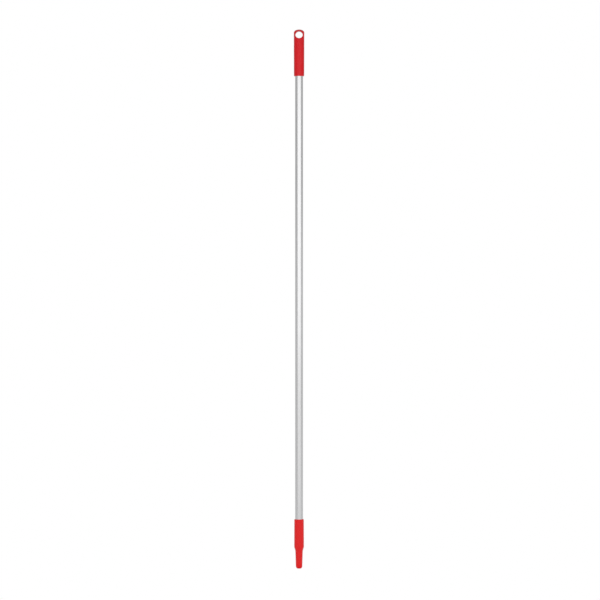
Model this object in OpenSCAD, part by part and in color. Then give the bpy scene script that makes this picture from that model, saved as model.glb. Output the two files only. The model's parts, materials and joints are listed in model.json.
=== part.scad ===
// Cleaning-tool handle: an aluminium tube with a moulded grip and hanging hole
// at the top, and a moulded sleeve with a tapered socket tip at the bottom.
// The origin is the centre of the tip's end face, and +Z runs up the tube.
// The hanging hole runs front to back, along Y. Sizes are in millimetres.

/* [Handle] */
// Overall length, from the tip's end face to the crown of the grip
overall_len = 1500; // [900:10:1800]

/* [Tube] */
// Outside diameter of the tube
tube_d = 22; // [21:0.5:23]
// Wall of the tube
tube_wall = 1.2; // [1:0.1:1.5]

/* [Grip] */
// Diameter of the grip from its middle up to the crown
grip_d = 29; // [28.5:0.5:30]
// Diameter of the grip at its open mouth
grip_mouth_d = 28.4; // [27:0.2:28.4]
// Length of the grip
grip_len = 130; // [120:5:160]
// Height of the domed crown
crown_h = 8.4; // [7:0.2:9]
// Diameter of the hanging hole
eye_d = 20; // [16:0.5:20]
// Wall left above the hanging hole
eye_rim = 5; // [4.5:0.5:6]
// Plastic left between the hanging hole and the tube's seat
eye_floor = 7; // [5:0.5:12]

/* [End fitting] */
// Length of the whole fitting, from its mouth to the end face
fitting_len = 137; // [125:1:160]
// Diameter of the sleeve at its open mouth
sleeve_mouth_d = 26.4; // [26:0.2:26.8]
// Diameter of the sleeve where the shoulder starts
sleeve_base_d = 27; // [26.8:0.2:28]
// Height of the conical shoulder under the sleeve
shoulder_h = 11; // [9:1:14]
// Length of the tapered tip
taper_len = 49; // [45:1:55]
// Diameter of the tip where it meets the shoulder
taper_root_d = 20.6; // [20:0.1:21]
// Length over which the tip narrows by one millimetre of diameter
taper_ratio = 15; // [13:1:20]
// Height of the rounded nose of the tip
nose_h = 8; // [5:0.5:9]
// How far in the nose rounds, from the tip's side to the flat end face
nose_in = 4.4; // [3:0.2:5]

/* [Hidden] */
$fn = 96;

// Open mouths of the two mouldings: a rounded outer edge and a lead-in for the tube
mouth_edge_r = 1.2;
lead_in = 0.5;
lead_in_len = 2;

// Seals: a round ring in a groove just inside each mouth
seal_thick = 1.1;
seal_groove_w = 1.8;
seal_from_mouth = 8;

// Tube radii, and the plug flange at each end of the tube
tube_r = tube_d / 2;
bore_r = tube_r - tube_wall;
tube_edge = 0.3;
flange_t = 2;

// Centre of the hanging hole
eye_z = overall_len - eye_rim - eye_d / 2;

// Levels in the grip
grip_z0 = overall_len - grip_len;
grip_seat_z = eye_z - eye_d / 2 - eye_floor;
tube_z1 = grip_seat_z - flange_t;

// Levels in the end fitting
shoulder_z = taper_len + shoulder_h;
fitting_seat_z = shoulder_z + 2;
tube_z0 = fitting_seat_z + flange_t;
shoulder_blend = 1.2;

// Tip: its radius at height z, and the wall around the core
function tip_r(z) = (taper_root_d - (taper_len - z) / taper_ratio) / 2;
tip_wall = 3.3;
core_z0 = 11;
core_r0 = tip_r(core_z0) - tip_wall;
core_r1 = tip_r(taper_len) - tip_wall;

// Stepped blind bore in the core
core_len_in_tube = 56;
core_bore_r = 6.8;
core_bore_from = 8;
core_pin_bore_r = 3.2;
core_pin_bore_from = 6;

// Cup-shaped plug in the grip
plug_len = 26;
plug_wall = 2;
plug_end_t = 3;

// Points of an elliptical arc about c, from angle a0 to a1, in n steps
function arc(c, rx, ry, a0, a1, n = 6) = [
    for (i = [0:n])
        let (a = a0 + (a1 - a0) * i / n)
            c + [rx * cos(a), ry * sin(a)]
];

// Inside of a moulding's socket, from the mouth at z0 in direction dir (1 up, -1 down)
// to the seat at z1: lead-in, seal groove, bore
function socket_points(z0, z1, dir) =
    let (groove = z0 + dir * seal_from_mouth, half = dir * seal_groove_w / 2)
        [
            [tube_r + lead_in, z0],
            [tube_r, z0 + dir * lead_in_len],
            [tube_r, groove - half],
            [tube_r + seal_thick, groove - half],
            [tube_r + seal_thick, groove + half],
            [tube_r, groove + half],
            [tube_r, z1]
        ];

// The same points in the other order
function reversed(points) = [for (i = [len(points) - 1:-1:0]) points[i]];

// Extruded aluminium tube, with its edges broken by a small chamfer
module tube() {
    color([0.75, 0.76, 0.77])
        rotate_extrude()
            polygon([
                [bore_r, tube_z0 + tube_edge],
                [bore_r + tube_edge, tube_z0],
                [tube_r - tube_edge, tube_z0],
                [tube_r, tube_z0 + tube_edge],
                [tube_r, tube_z1 - tube_edge],
                [tube_r - tube_edge, tube_z1],
                [bore_r + tube_edge, tube_z1],
                [bore_r, tube_z1 - tube_edge]
            ]);
}

// Round shell of the grip: rounded mouth, slight draft, elliptical crown, socket inside
module grip_shell() {
    mouth_in = [grip_mouth_d / 2 - mouth_edge_r, grip_z0 + mouth_edge_r];
    mouth = arc(mouth_in, mouth_edge_r, mouth_edge_r, -90, 0);
    waist = [[grip_d / 2, grip_z0 + grip_len / 2]];
    crown = arc([0, overall_len - crown_h], grip_d / 2, crown_h, 0, 90, 12);
    seat = [[0, grip_seat_z]];
    inside = reversed(socket_points(grip_z0, grip_seat_z, 1));
    rotate_extrude()
        polygon(concat(mouth, waist, crown, seat, inside));
}

// Hanging hole, straight through the round grip from front to back
module eye_hole() {
    past = 1;
    translate([0, 0, eye_z])
        rotate([90, 0, 0])
            cylinder(h = grip_d + 2 * past, d = eye_d, center = true);
}

// Red moulded grip with the hanging hole
module hanger_grip() {
    color([0.80, 0.09, 0.12])
        difference() {
            grip_shell();
            eye_hole();
        }
}

// Cup-shaped plug that closes the tube's upper end, with its flange on the tube
module grip_plug() {
    foot_z = tube_z1 - plug_len;
    color([0.12, 0.12, 0.13])
        rotate_extrude()
            polygon([
                [0, grip_seat_z],
                [tube_r, grip_seat_z],
                [tube_r, tube_z1],
                [bore_r, tube_z1],
                [bore_r, foot_z],
                [bore_r - plug_wall, foot_z],
                [bore_r - plug_wall, grip_seat_z - plug_end_t],
                [0, grip_seat_z - plug_end_t]
            ]);
}

// Rubber ring centred on height z, touching the tube and the floor of its groove
module seal_ring(z) {
    color([0.05, 0.05, 0.05])
        translate([0, 0, z])
            rotate_extrude()
                translate([tube_r + seal_thick / 2, 0])
                    circle(d = seal_thick, $fn = 32);
}

// Red moulded sleeve, conical shoulder and tapered tip, with the core's space inside
module end_fitting() {
    nose_top = tip_r(nose_h);
    mouth_in = [sleeve_mouth_d / 2 - mouth_edge_r, fitting_len - mouth_edge_r];
    nose = arc([nose_top - nose_in, nose_h], nose_in, nose_h, -90, 0, 10);
    shoulder = [
        [taper_root_d / 2, taper_len],
        [sleeve_base_d / 2 - shoulder_blend, shoulder_z - shoulder_blend],
        [sleeve_base_d / 2, shoulder_z + shoulder_blend]
    ];
    mouth = arc(mouth_in, mouth_edge_r, mouth_edge_r, 0, 90);
    inside = socket_points(fitting_len, fitting_seat_z, -1);
    core = [[core_r1, fitting_seat_z], [core_r0, core_z0], [0, core_z0]];
    color([0.88, 0.16, 0.16])
        rotate_extrude()
            polygon(concat([[0, 0]], nose, shoulder, mouth, inside, core));
}

// Stiff core: fills the tip, carries the tube on its flange and plugs its lower end
module tip_core() {
    top_z = tube_z0 + core_len_in_tube;
    step_z = tube_z0 + core_bore_from;
    color([0.16, 0.16, 0.17])
        rotate_extrude()
            polygon([
                [0, core_z0],
                [core_r0, core_z0],
                [core_r1, fitting_seat_z],
                [tube_r, fitting_seat_z],
                [tube_r, tube_z0],
                [bore_r, tube_z0],
                [bore_r, top_z],
                [core_bore_r, top_z],
                [core_bore_r, step_z],
                [core_pin_bore_r, step_z],
                [core_pin_bore_r, core_z0 + core_pin_bore_from],
                [0, core_z0 + core_pin_bore_from]
            ]);
}

tube();
hanger_grip();
grip_plug();
seal_ring(grip_z0 + seal_from_mouth);  // grip_seal_ring
end_fitting();
tip_core();
seal_ring(fitting_len - seal_from_mouth);  // fitting_seal_ring
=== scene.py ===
"""Looks of a cleaning-tool handle: satin aluminium tube, red grip with a hanging hole, red tapered fitting.

Lengths inside the mesh functions are in millimetres; everything handed to Blender is in metres.
"""

import json
import math

import bpy
import numpy as np
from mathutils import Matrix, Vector


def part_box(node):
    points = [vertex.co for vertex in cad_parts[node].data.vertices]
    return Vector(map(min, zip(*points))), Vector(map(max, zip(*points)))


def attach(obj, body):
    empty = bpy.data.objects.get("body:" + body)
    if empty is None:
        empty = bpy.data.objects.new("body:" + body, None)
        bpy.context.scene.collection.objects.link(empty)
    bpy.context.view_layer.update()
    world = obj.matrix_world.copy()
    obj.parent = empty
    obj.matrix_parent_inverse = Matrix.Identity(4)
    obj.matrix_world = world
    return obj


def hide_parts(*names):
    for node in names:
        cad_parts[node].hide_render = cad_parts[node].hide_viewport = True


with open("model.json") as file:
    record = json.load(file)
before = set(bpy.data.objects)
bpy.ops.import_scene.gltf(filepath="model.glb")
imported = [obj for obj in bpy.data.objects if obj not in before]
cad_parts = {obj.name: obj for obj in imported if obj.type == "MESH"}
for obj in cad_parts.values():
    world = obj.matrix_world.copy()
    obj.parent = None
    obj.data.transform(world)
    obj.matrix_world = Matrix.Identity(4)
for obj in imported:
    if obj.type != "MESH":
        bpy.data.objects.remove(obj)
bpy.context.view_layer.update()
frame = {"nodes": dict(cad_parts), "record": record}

MM = 0.001

# ---- Sizes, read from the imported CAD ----

mounts = {m["name"]: m for m in frame["record"]["mounts"]}
boxes = {name: np.array(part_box(name)) / MM for name in frame["nodes"]}


def bottom(node):
    return boxes[node][0][2]


def top(node):
    return boxes[node][1][2]


def radius(node):
    return boxes[node][1][0]


HEIGHT = top("hanger_grip")
TUBE_R = radius("tube")
BORE_R = TUBE_R - 1.2
SEAL_R = radius("grip_seal_ring")
EYE_R = mounts["hanging_hole"]["dims"]["r_mm"]
EYE_Z = mounts["hanging_hole"]["pos_m"][2] / MM

# Details of the mouldings
MOUTH_ROUND = 1.2
LEAD_IN = 0.5
LEAD_IN_LEN = 2.0
GROOVE_HALF = 0.9
SEAL_HALF = 0.55
FLANGE_T = 2

# Flash line left where the two halves of a mould meet, in the plane Y = 0
FLASH_W = 0.36
FLASH_H = 0.05


def flash(y):
    return FLASH_H * np.clip(1 - np.abs(y) / (FLASH_W / 2), 0, 1)


# ---- Mesh building ----


def mesh_object(name, points, faces, sharp_deg=40):
    mesh = bpy.data.meshes.new(name)
    mesh.from_pydata((np.asarray(points) * MM).tolist(), [], faces)
    mesh.shade_smooth()
    mesh.set_sharp_from_angle(angle=math.radians(sharp_deg))
    obj = bpy.data.objects.new(name, mesh)
    bpy.context.scene.collection.objects.link(obj)
    return obj


def arc(centre, rx, rz, a0, a1, n=12):
    """Points of an elliptical arc from angle a0 to a1, in degrees."""
    return [
        (centre[0] + rx * math.cos(a), centre[1] + rz * math.sin(a))
        for a in np.radians(np.linspace(a0, a1, n + 1))
    ]


def rounded(corners, n=6):
    """Outline through (radius, height, fillet) corners, each corner rounded by its fillet."""
    out = []
    for i, (r, z, fillet) in enumerate(corners):
        here = np.array((r, z))
        if fillet == 0 or i in (0, len(corners) - 1):
            out.append((r, z))
            continue
        before = np.array(corners[i - 1][:2]) - here
        after = np.array(corners[i + 1][:2]) - here
        before, after = before / np.linalg.norm(before), after / np.linalg.norm(after)
        half = math.acos(np.clip(before @ after, -1, 1)) / 2
        start, end = here + before * fillet / math.tan(half), here + after * fillet / math.tan(half)
        middle = before + after
        centre = here + middle / np.linalg.norm(middle) * fillet / math.sin(half)
        a0 = math.atan2(*(start - centre)[::-1])
        swing = (math.atan2(*(end - centre)[::-1]) - a0 + math.pi) % (2 * math.pi) - math.pi
        out += [
            tuple(centre + fillet * np.array((math.cos(a), math.sin(a))))
            for a in np.linspace(a0, a0 + swing, n + 1)
        ]
    return out


def divided(outline, longest):
    """The outline with each long stretch split, so that its faces keep a fair shape."""
    out = [outline[0]]
    for p, q in zip(outline, outline[1:]):
        parts = max(1, math.ceil(math.dist(p, q) / longest))
        out += [tuple(np.array(p) + (np.array(q) - np.array(p)) * i / parts) for i in range(1, parts + 1)]
    return out


def revolved(name, outside, inside, steps=120, flashed=False):
    """Turns an outline about Z. It closes on itself, or at both ends on the axis.

    flashed: the outside carries the mould's flash line, with two more columns of points beside it.
    """
    outline = outside + inside
    beside = math.radians(0.8)
    turns = list(np.arange(steps) * 2 * math.pi / steps)
    if flashed:
        turns += [beside, math.pi - beside, math.pi + beside, 2 * math.pi - beside]
    turns = np.array(sorted(turns))
    poles = outline[0][0] < 1e-6
    rings = outline[1:-1] if poles else outline
    points = []
    for i, (r, z) in enumerate(rings):
        grow = flash(r * np.sin(turns)) if flashed and i < len(outside) - 1 else 0
        ring = np.stack([(r + grow) * np.cos(turns), (r + grow) * np.sin(turns), np.full_like(turns, z)], 1)
        points.append(ring)
    points = np.concatenate(points)
    n, m = len(turns), len(rings)
    faces = []
    for i in range(m - 1 if poles else m):
        a, b = i * n, (i + 1) % m * n
        faces += [(a + j, a + (j + 1) % n, b + (j + 1) % n, b + j) for j in range(n)]
    if poles:
        first, last = len(points), len(points) + 1
        points = np.vstack([points, (0, 0, outline[0][1]), (0, 0, outline[-1][1])])
        end = (m - 1) * n
        faces += [((j + 1) % n, j, first) for j in range(n)]
        faces += [(end + j, end + (j + 1) % n, last) for j in range(n)]
    return mesh_object(name, points, faces)


def socket_corners(z0, z1, ring_z, inward):
    """Corners of a moulding's socket, from its mouth at z0 to its seat at z1, past the seal's groove."""
    return [
        (TUBE_R + LEAD_IN, z0, 0.25),
        (TUBE_R, z0 + inward * LEAD_IN_LEN, 0),
        (TUBE_R, ring_z - inward * GROOVE_HALF, 0.15),
        (SEAL_R, ring_z - inward * GROOVE_HALF, 0.2),
        (SEAL_R, ring_z + inward * GROOVE_HALF, 0.2),
        (TUBE_R, ring_z + inward * GROOVE_HALF, 0.15),
        (TUBE_R, z1, 0.15),
    ]


# ---- Tube ----


def make_tube():
    z0, z1 = bottom("tube"), top("tube")
    edge = 0.3
    ring = rounded(
        [
            (TUBE_R, (z0 + z1) / 2, 0),
            (TUBE_R, z1, edge),
            (BORE_R, z1, edge),
            (BORE_R, z0, edge),
            (TUBE_R, z0, edge),
            (TUBE_R, (z0 + z1) / 2, 0),
        ],
        n=4,
    )
    ring = divided(ring, 18)[:-1]
    piece = revolved("tube_extrusion", ring, [], steps=128)
    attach(piece, "root")
    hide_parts("tube")
    return piece


# ---- End fitting ----


def make_end_fitting():
    mouth_z = top("end_fitting")
    seat_z = bottom("tube") - FLANGE_T
    core_z = bottom("tip_core")
    core_r0, core_r1 = 5.73, 7.0
    root_r, root_z = 10.3, 49
    base_r, base_z = radius("end_fitting"), 60
    mouth_r = 13.2
    nose_h, nose_in = 8, 4.4
    nose_r = root_r - (root_z - nose_h) / 30

    # Outside, from the middle of the end face: the gate's mark, the nose, the taper, the sleeve
    gate = rounded(
        [(0, 0.2, 0), (0.8, 0.2, 0.12), (0.9, 0.45, 0.1), (2.2, 0.45, 0.4), (2.7, 0, 0.3), (3.4, 0, 0)], n=4
    )
    nose = arc((nose_r - nose_in, nose_h), nose_in, nose_h, -90, 0, 18)
    side = rounded(
        [
            (nose_r, nose_h, 0),
            (root_r, root_z, 4),
            (base_r, base_z, 3),
            (mouth_r, mouth_z, MOUTH_ROUND),
            (TUBE_R + LEAD_IN, mouth_z, 0),
        ]
    )
    outside = gate + nose + divided(side[1:], 3)

    # Inside, from the mouth: the tube's socket, then the core's cone
    inside = rounded(
        [(13, mouth_z, 0)]
        + socket_corners(mouth_z, seat_z, top("fitting_seal_ring") - SEAL_HALF, -1)
        + [(core_r1, seat_z, 0), (core_r0, core_z, 0.2), (0, core_z, 0)],
        n=3,
    )
    piece = revolved("end_fitting_moulding", outside[:-1], divided(inside[1:], 6), flashed=True)
    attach(piece, "root")
    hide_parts("end_fitting")
    return piece


# ---- Grip, as a solid given by its distance function ----


def soft_max(a, b, k):
    """The larger of a and b, blended over a distance k where they meet."""
    h = np.clip(0.5 + 0.5 * (a - b) / k, 0, 1)
    return b + (a - b) * h + k * h * (1 - h)


def grip_distance(x, y, z):
    """Signed distance, in millimetres, from the surface of the grip. Negative is inside."""
    z0, z1 = bottom("hanger_grip"), top("hanger_grip")
    full_r, mouth_r, crown_h = radius("hanger_grip"), 14.2, 8.4
    waist_z, seat_z = (z0 + z1) / 2, top("grip_plug")
    ring_z = top("grip_seal_ring") - SEAL_HALF

    # Outside: round body with a little draft towards the mouth, under an elliptical crown
    across = np.hypot(x, y)
    draft = (full_r - mouth_r) * np.clip((waist_z - z) / (waist_z - z0), 0, 1)
    round_body = across - full_r + draft
    up = np.maximum(z - (z1 - crown_h), 0)
    level = np.sqrt((across / full_r) ** 2 + (up / crown_h) ** 2)
    steep = np.sqrt((across / full_r**2) ** 2 + (up / crown_h**2) ** 2) / np.maximum(level, 1e-6)
    crown = (level - 1) / np.maximum(steep, 1e-6)
    body = np.where(up > 0, crown, round_body)
    body = soft_max(body, z0 - z, 2 * MOUTH_ROUND)

    # The hanging hole, straight through from front to back, with well rounded mouths
    eye_round = 2.6
    body = soft_max(body, EYE_R - np.hypot(x, z - EYE_Z), eye_round) - flash(y)

    # Socket for the tube, with its lead-in and the seal's groove
    lead = LEAD_IN * np.clip(1 - (z - z0) / LEAD_IN_LEN, 0, 1)
    bore = np.maximum(across - TUBE_R - lead, z - seat_z)
    groove = np.maximum(across - SEAL_R, np.abs(z - ring_z) - GROOVE_HALF)
    socket = -soft_max(-bore, -groove, 0.25)
    return soft_max(body, -socket, 0.3)


def spaced(*spans):
    """Grid lines over joined spans of (start, end, step)."""
    lines = [np.linspace(a, b, max(2, round((b - a) / step) + 1)) for a, b, step in spans]
    return np.unique(np.round(np.concatenate(lines), 4))


def distance_slope(distance, points, d=0.02):
    steps = np.eye(3) * d
    return np.stack([distance(*(points + s).T) - distance(*(points - s).T) for s in steps], 1) / (2 * d)


def skin(distance, lines):
    """Quads on the zero surface of a distance function: one point in each grid cell that it crosses."""
    value = distance(*np.meshgrid(*lines, indexing="ij"))
    inside = value < 0
    shape = tuple(n - 1 for n in value.shape)
    total, count = np.zeros((*shape, 3)), np.zeros(shape)

    # The mean of the points where the surface crosses each cell's edges
    for axis in range(3):
        low = [slice(None)] * 3
        high = [slice(None)] * 3
        low[axis], high[axis] = slice(None, -1), slice(1, None)
        low, high = tuple(low), tuple(high)
        crossed = inside[low] != inside[high]
        span = np.where(crossed, value[low] - value[high], 1)
        part = value[low] / span
        grid = np.meshgrid(*[l if a != axis else l[:-1] for a, l in enumerate(lines)], indexing="ij")
        step = np.diff(lines[axis]).reshape([-1 if a == axis else 1 for a in range(3)])
        grid[axis] = grid[axis] + part * step
        place = np.stack(grid, -1) * crossed[..., None]
        others = [a for a in range(3) if a != axis]
        for i in (0, 1):
            for j in (0, 1):
                pick = [slice(None)] * 3
                pick[others[0]] = slice(i, i + shape[others[0]])
                pick[others[1]] = slice(j, j + shape[others[1]])
                total += place[tuple(pick)]
                count += crossed[tuple(pick)]
    used = count > 0
    index = np.full(shape, -1)
    index[used] = np.arange(used.sum())
    points = total[used] / count[used][:, None]

    # One quad around each crossed edge, turned to face outwards
    faces = []
    for axis in range(3):
        u, v = [(1, 2), (2, 0), (0, 1)][axis]
        low = [slice(1, -1)] * 3
        high = [slice(1, -1)] * 3
        low[axis], high[axis] = slice(None, -1), slice(1, None)
        crossed = np.argwhere(inside[tuple(low)] != inside[tuple(high)])
        base = crossed + np.array([0 if a == axis else 1 for a in range(3)])
        solid_low = inside[tuple(base.T)]
        ring = []
        for du, dv in ((-1, -1), (0, -1), (0, 0), (-1, 0)):
            cell = base.copy()
            cell[:, u] += du
            cell[:, v] += dv
            ring.append(index[tuple(cell.T)])
        quads = np.stack(ring, 1)
        quads[~solid_low] = quads[~solid_low][:, ::-1]
        faces.append(quads)
    return points, np.concatenate(faces)


def settled(distance, points, passes=5, longest=0.25):
    """The points moved onto the zero surface along the distance function's slope."""
    for _ in range(passes):
        slope = distance_slope(distance, points)
        steep = np.maximum((slope**2).sum(1), 0.05)
        move = slope * (distance(*points.T) / steep)[:, None]
        length = np.linalg.norm(move, axis=1)[:, None]
        points = points - move * np.minimum(1, longest / np.maximum(length, 1e-9))
    return points


def make_grip():
    z0, z1, r = bottom("hanger_grip"), top("hanger_grip"), radius("hanger_grip")
    fine, past = 0.5, 0.7
    near = FLASH_W / 2
    x_lines = spaced((-r - past, r + past, fine))
    half = ((near, 0.5, 0.16), (0.5, r + past, fine))
    y_lines = spaced(*[(-b, -a, step) for a, b, step in half], (-near, near, near), *half)
    z_lines = spaced((z0 - past, z0 + 11, 0.35), (z0 + 11, EYE_Z - 24, 3.5), (EYE_Z - 24, z1 + past, 0.45))
    points, quads = skin(grip_distance, (x_lines, y_lines, z_lines))
    points = settled(grip_distance, points)
    piece = mesh_object("hanger_grip_moulding", points, quads.tolist(), sharp_deg=60)
    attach(piece, "root")
    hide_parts("hanger_grip")
    return piece


# ---- Materials ----


class Shader:
    """A material's node tree, with short calls to add nodes and link them."""

    def __init__(self, name):
        self.material = bpy.data.materials.new(name)
        self.material.use_nodes = True
        self.tree = self.material.node_tree
        self.bsdf = self.tree.nodes["Principled BSDF"]
        self.place = self.node("ShaderNodeTexCoord").outputs["Object"]

    def node(self, kind, **settings):
        n = self.tree.nodes.new(kind)
        for key, value in settings.items():
            setattr(n, key, value)
        return n

    def link(self, source, target):
        self.tree.links.new(source, target)

    def stretched(self, scale, turn=(0, 0, 0)):
        """Object coordinates turned and then scaled by a vector, for a pattern drawn out along an axis."""
        n = self.node("ShaderNodeMapping", vector_type="TEXTURE")
        n.inputs["Scale"].default_value = tuple(1 / c for c in scale)
        n.inputs["Rotation"].default_value = turn
        self.link(self.place, n.inputs["Vector"])
        return n.outputs["Vector"]

    def height(self):
        n = self.node("ShaderNodeSeparateXYZ")
        self.link(self.place, n.inputs["Vector"])
        return n.outputs["Z"]

    def cells(self, scale):
        """Distance to the nearest of many scattered points, 0 at each point."""
        n = self.node("ShaderNodeTexVoronoi")
        n.inputs["Scale"].default_value = scale
        self.link(self.place, n.inputs["Vector"])
        return n.outputs["Distance"]

    def hairlines(self, fine, drawn, turn, low, high):
        """Sparse thin lines, 1 on a line: fine lines to the metre across them, drawn along their length."""
        return self.spread(self.noise(1, 1, 0.5, self.stretched((fine, fine, drawn), turn)), low, high, 0, 1)

    def noise(self, scale, detail=2, rough=0.5, vector=None):
        n = self.node("ShaderNodeTexNoise")
        n.inputs["Scale"].default_value = scale
        n.inputs["Detail"].default_value = detail
        n.inputs["Roughness"].default_value = rough
        self.link(vector or self.place, n.inputs["Vector"])
        return n.outputs["Fac"]

    def spread(self, source, low, high, to_low, to_high):
        n = self.node("ShaderNodeMapRange")
        for key, value in (("From Min", low), ("From Max", high), ("To Min", to_low), ("To Max", to_high)):
            n.inputs[key].default_value = value
        self.link(source, n.inputs["Value"])
        return n.outputs["Result"]

    def maths(self, operation, a, b):
        n = self.node("ShaderNodeMath", operation=operation)
        for slot, value in zip(n.inputs, (a, b)):
            if isinstance(value, (int, float)):
                slot.default_value = value
            else:
                self.link(value, slot)
        return n.outputs["Value"]

    def mixed(self, factor, a, b):
        n = self.node("ShaderNodeMix", data_type="RGBA")
        self.link(factor, n.inputs["Factor"])
        for key, value in (("A", a), ("B", b)):
            slot = [s for s in n.inputs if s.name == key and s.type == "RGBA"][0]
            if isinstance(value, tuple):
                slot.default_value = (*value, 1)
            else:
                self.link(value, slot)
        return [s for s in n.outputs if s.type == "RGBA"][0]

    def bump(self, height, distance, strength=1.0, under=None):
        n = self.node("ShaderNodeBump")
        n.inputs["Distance"].default_value = distance
        n.inputs["Strength"].default_value = strength
        self.link(height, n.inputs["Height"])
        if under:
            self.link(under, n.inputs["Normal"])
        return n.outputs["Normal"]

    def finish(self, color=None, rough=None, normal=None, **constants):
        for key, source in (("Base Color", color), ("Roughness", rough), ("Normal", normal)):
            if source is not None:
                self.link(source, self.bsdf.inputs[key])
        for key, value in constants.items():
            self.bsdf.inputs[key.replace("_", " ")].default_value = value
        return self.material


def anodised_aluminium():
    """Satin anodised extrusion: fine die lines along the tube, soft haze, a few hairline scratches."""
    s = Shader("anodised_aluminium")
    lines = s.noise(1, 3, 0.6, s.stretched((2600, 2600, 5)))
    bands = s.noise(1, 2, 0.5, s.stretched((420, 420, 1.5)))
    haze = s.noise(14, 4, 0.55)
    grain = s.noise(5200, 2, 0.6)
    hairs = s.hairlines(1500, 22, (0, 0, 0), 0.70, 0.76)
    tone = s.maths("ADD", s.maths("MULTIPLY", lines, 0.45), s.maths("MULTIPLY", bands, 0.55))
    color = s.mixed(s.spread(tone, 0.3, 0.7, 0, 1), (0.65, 0.65, 0.655), (0.72, 0.72, 0.725))
    color = s.mixed(s.maths("MULTIPLY", hairs, 0.5), color, (0.90, 0.90, 0.90))
    rough = s.maths("ADD", s.spread(lines, 0.3, 0.7, 0.25, 0.33), s.spread(haze, 0.3, 0.7, -0.03, 0.04))
    normal = s.bump(grain, 0.000003)
    normal = s.bump(lines, 0.000006, under=normal)
    normal = s.bump(hairs, 0.000006, 0.8, under=normal)
    return s.finish(color, rough, normal, Metallic=1.0)


def moulded_plastic(name, deep, light, nose=None):
    """Injection-moulded polypropylene: spark-eroded grain with painted shade in its pits, flow marks, light
    scuffs, worn edges.

    nose: painted shade, a deeper red without sheen for the lowest 10 mm of the handle, where the tip turns
    down away from the light.
    """
    s = Shader(name)
    grain = s.noise(2600, 3, 0.65)
    # pits of the grain; below, their colour carries painted shade
    shaded_pits = s.spread(s.cells(1300), 0.1, 0.42, 1, 0)
    flow = s.noise(1, 3, 0.55, s.stretched((45, 45, 11)))
    mottle = s.noise(210, 4, 0.65)
    tone = s.maths("ADD", s.maths("MULTIPLY", flow, 0.65), s.maths("MULTIPLY", mottle, 0.35))
    scuffs = s.maths(
        "MAXIMUM",
        s.hairlines(1700, 45, (0.3, 0.5, 0), 0.68, 0.75),
        s.hairlines(2100, 70, (-0.4, 1.2, 0.4), 0.70, 0.77),
    )
    scuffs = s.maths("MULTIPLY", scuffs, s.spread(s.noise(38, 2), 0.42, 0.62, 0.1, 1))
    worn = s.spread(s.node("ShaderNodeNewGeometry").outputs["Pointiness"], 0.53, 0.60, 0, 1)
    color = s.mixed(s.spread(tone, 0.35, 0.65, 0, 1), deep, light)
    # painted shade: the lowest 10 mm blend into the deeper, sheenless nose colour
    if nose:
        color = s.mixed(s.spread(s.height(), 0.006, 0.014, 1, 0), color, nose)
    # painted shade: the grain's pits darkened towards 72% of the deep colour
    color = s.mixed(s.maths("MULTIPLY", shaded_pits, 0.35), color, tuple(c * 0.72 for c in deep))
    pale = tuple(min(1, c * 1.05 + 0.03) for c in light)
    color = s.mixed(s.maths("MULTIPLY", scuffs, 0.45), color, pale)
    color = s.mixed(s.maths("MULTIPLY", worn, 0.3), color, pale)
    rough = s.maths("ADD", s.spread(flow, 0.3, 0.7, 0.30, 0.38), s.spread(grain, 0.35, 0.65, -0.05, 0.05))
    rough = s.maths("ADD", rough, s.maths("MULTIPLY", scuffs, 0.12))
    rough = s.maths("SUBTRACT", rough, s.maths("MULTIPLY", worn, 0.08))
    normal = s.bump(grain, 0.00009, 0.9)
    normal = s.bump(shaded_pits, 0.00005, 0.6, under=normal)
    normal = s.bump(scuffs, 0.00002, 0.8, under=normal)
    return s.finish(color, rough, normal, Specular_IOR_Level=0.3, IOR=1.49)


def glass_filled_plastic(name, dark, fleck):
    """Dark structural plastic with short pale fibres showing at its skin."""
    s = Shader(name)
    fibres = s.spread(s.noise(1, 1, 0.5, s.stretched((3500, 3500, 500))), 0.62, 0.72, 0, 1)
    grain = s.noise(1500, 3, 0.6)
    color = s.mixed(fibres, dark, fleck)
    rough = s.spread(grain, 0.3, 0.7, 0.5, 0.62)
    return s.finish(color, rough, s.bump(grain, 0.00005, 0.6), IOR=1.52)


def seal_rubber():
    s = Shader("seal_rubber")
    bloom = s.noise(600, 3, 0.6)
    grain = s.noise(4000, 2, 0.5)
    color = s.mixed(s.spread(bloom, 0.35, 0.75, 0, 1), (0.018, 0.018, 0.02), (0.045, 0.045, 0.048))
    rough = s.spread(bloom, 0.3, 0.7, 0.55, 0.75)
    return s.finish(color, rough, s.bump(grain, 0.00002, 0.5), IOR=1.52)


def wear(obj, material):
    obj.data.materials.clear()
    obj.data.materials.append(material)


# ---- Studio ----


def make_camera():
    """Long lens looking along +Y, with the handle filling nine tenths of the frame's height."""
    data = bpy.data.cameras.new("camera")
    data.lens, data.sensor_width = 150, 36
    margin, aside, lower = 1.1135, 0.0026, 0.0028
    camera = bpy.data.objects.new("camera", data)
    bpy.context.scene.collection.objects.link(camera)
    frame_height = margin * HEIGHT * MM
    distance = frame_height / 2 / (data.sensor_width / 2 / data.lens)
    camera.location = (aside, -distance, HEIGHT * MM / 2 - lower)
    camera.rotation_euler = (math.radians(90), 0, 0)
    bpy.context.scene.camera = camera


def make_world(seen, light):
    """Plain background: one level for the camera, a lower one for lighting."""
    world = bpy.data.worlds.new("studio")
    bpy.context.scene.world = world
    world.use_nodes = True
    tree = world.node_tree
    back, out = tree.nodes["Background"], tree.nodes["World Output"]
    back.inputs["Color"].default_value = (light, light, light, 1)
    view = tree.nodes.new("ShaderNodeBackground")
    view.inputs["Color"].default_value = (seen, seen, seen, 1)
    path, mix = tree.nodes.new("ShaderNodeLightPath"), tree.nodes.new("ShaderNodeMixShader")
    tree.links.new(path.outputs["Is Camera Ray"], mix.inputs["Fac"])
    tree.links.new(back.outputs["Background"], mix.inputs[1])
    tree.links.new(view.outputs["Background"], mix.inputs[2])
    tree.links.new(mix.outputs["Shader"], out.inputs["Surface"])


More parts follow.
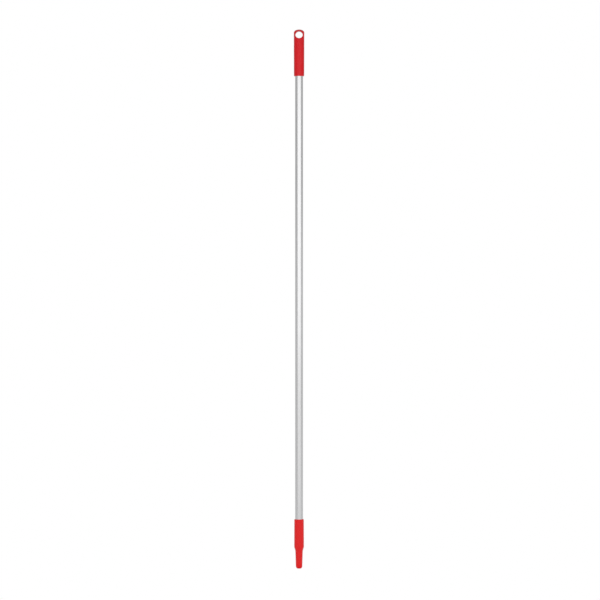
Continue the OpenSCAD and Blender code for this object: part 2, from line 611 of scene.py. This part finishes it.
def make_panel(name, centre, size, aim, radiance):
    """A soft rectangular light of a given brightness, not seen by the camera."""
    data = bpy.data.lights.new(name, "AREA")
    data.shape = "RECTANGLE"
    data.size, data.size_y = size
    data.energy = radiance * math.pi * size[0] * size[1]
    light = bpy.data.objects.new(name, data)
    light.location = centre
    light.rotation_euler = (Vector(aim) - Vector(centre)).to_track_quat("-Z", "Y").to_euler()
    light.visible_camera = False
    bpy.context.scene.collection.objects.link(light)


def make_floor(size, color, glow):
    """Pale studio floor. The camera sees it as bright as the background, so that no edge shows."""
    half = size / 2
    corners = [(-half, -half, 0), (half, -half, 0), (half, half, 0), (-half, half, 0)]
    floor = mesh_object("floor", np.array(corners) / MM, [(0, 1, 2, 3)])
    s = Shader("floor_white")
    haze = s.noise(1.5, 2)
    paint = s.mixed(haze, color, tuple(c * 0.97 for c in color))
    s.bsdf.inputs["Emission Color"].default_value = (1, 1, 1, 1)
    wear(floor, s.finish(paint, Roughness=0.9, Specular_IOR_Level=0.0, Emission_Strength=glow))
    seen = s.node("ShaderNodeEmission")
    path, mix = s.node("ShaderNodeLightPath"), s.node("ShaderNodeMixShader")
    out = s.tree.nodes["Material Output"]
    s.link(path.outputs["Is Camera Ray"], mix.inputs["Fac"])
    s.link(s.bsdf.outputs["BSDF"], mix.inputs[1])
    s.link(seen.outputs["Emission"], mix.inputs[2])
    s.link(mix.outputs["Shader"], out.inputs["Surface"])


def make_studio():
    make_world(seen=1.0, light=0.52)
    make_panel("wide_front", (0.40, -1.2, 1.15), (3.2, 1.2), (0.40, 0, 1.15), 0.90)
    make_panel("key_front", (-0.34, -1.2, 1.15), (1.72, 1.2), (-0.34, 0, 1.15), 0.13)
    make_panel("low_front", (0.40, -1.2, 0.275), (3.2, 0.55), (0.40, 0, 0.275), 0.46)
    make_panel("left_fill", (-1.4, 0.35, 0.5), (1.9, 1.0), (0, 0, 0.5), 0.15)
    make_panel("right_fill", (1.4, 0.35, 0.5), (1.9, 1.0), (0, 0, 0.5), 0.15)
    make_panel("wide_back", (0, 1.6, 0.9), (5.0, 2.2), (0, 0, 0.9), 0.15)
    make_panel("key_back", (0, 1.6, 0.9), (1.6, 2.2), (0, 0, 0.9), 0.55)
    make_floor(6, (0.62, 0.62, 0.62), 0.28)
    scene = bpy.context.scene
    scene.view_settings.view_transform = "Standard"
    scene.view_settings.look = "None"


# ---- The whole handle ----

make_camera()
tube = make_tube()
fitting = make_end_fitting()
grip = make_grip()

wear(tube, anodised_aluminium())
wear(grip, moulded_plastic("grip_red", (0.63, 0.002, 0.007), (0.70, 0.003, 0.009)))
# painted shade for the fitting's nose: a deeper red without sheen
nose_shade_red = (0.82, 0.002, 0.006)
wear(fitting, moulded_plastic("fitting_red", (0.80, 0.009, 0.010), (0.86, 0.012, 0.012), nose_shade_red))

plug_plastic = glass_filled_plastic("plug_plastic", (0.02, 0.02, 0.022), (0.09, 0.09, 0.09))
core_plastic = glass_filled_plastic("core_plastic", (0.028, 0.028, 0.03), (0.16, 0.16, 0.16))
rubber = seal_rubber()
wear(frame["nodes"]["grip_plug"], plug_plastic)
wear(frame["nodes"]["tip_core"], core_plastic)
for ring in ("grip_seal_ring", "fitting_seal_ring"):
    wear(frame["nodes"][ring], rubber)

make_studio()
